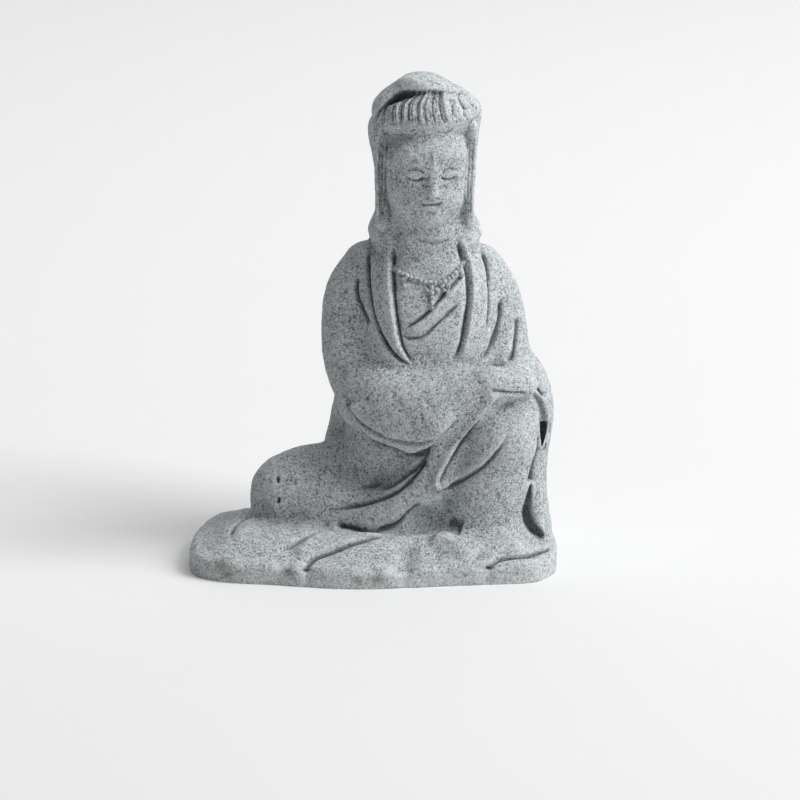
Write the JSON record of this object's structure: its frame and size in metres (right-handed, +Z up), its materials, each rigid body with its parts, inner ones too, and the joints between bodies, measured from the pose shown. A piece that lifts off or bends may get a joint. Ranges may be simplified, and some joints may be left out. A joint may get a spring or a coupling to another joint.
{
  "type": "avalokiteshvara statue",
  "caption": "Small seated robed figure in grey cast sandstone, one knee raised and the arms laid over it, on its own spread robe; stands on a shelf or desk.",
  "frame": {"origin": "on the surface that the statue stands on, under the middle of its bounding box", "axes": "+Z up; the figure faces -Y; +X is on the viewer's right, the side of the raised knee"},
  "size_m": [0.071, 0.0552, 0.095],
  "materials": {
    "sandstone": "rough grey sandstone composite, fine salt and pepper grain, unpolished"
  },
  "bodies": {
    "root": {"statue": "sandstone"}
  },
  "joints": []
}
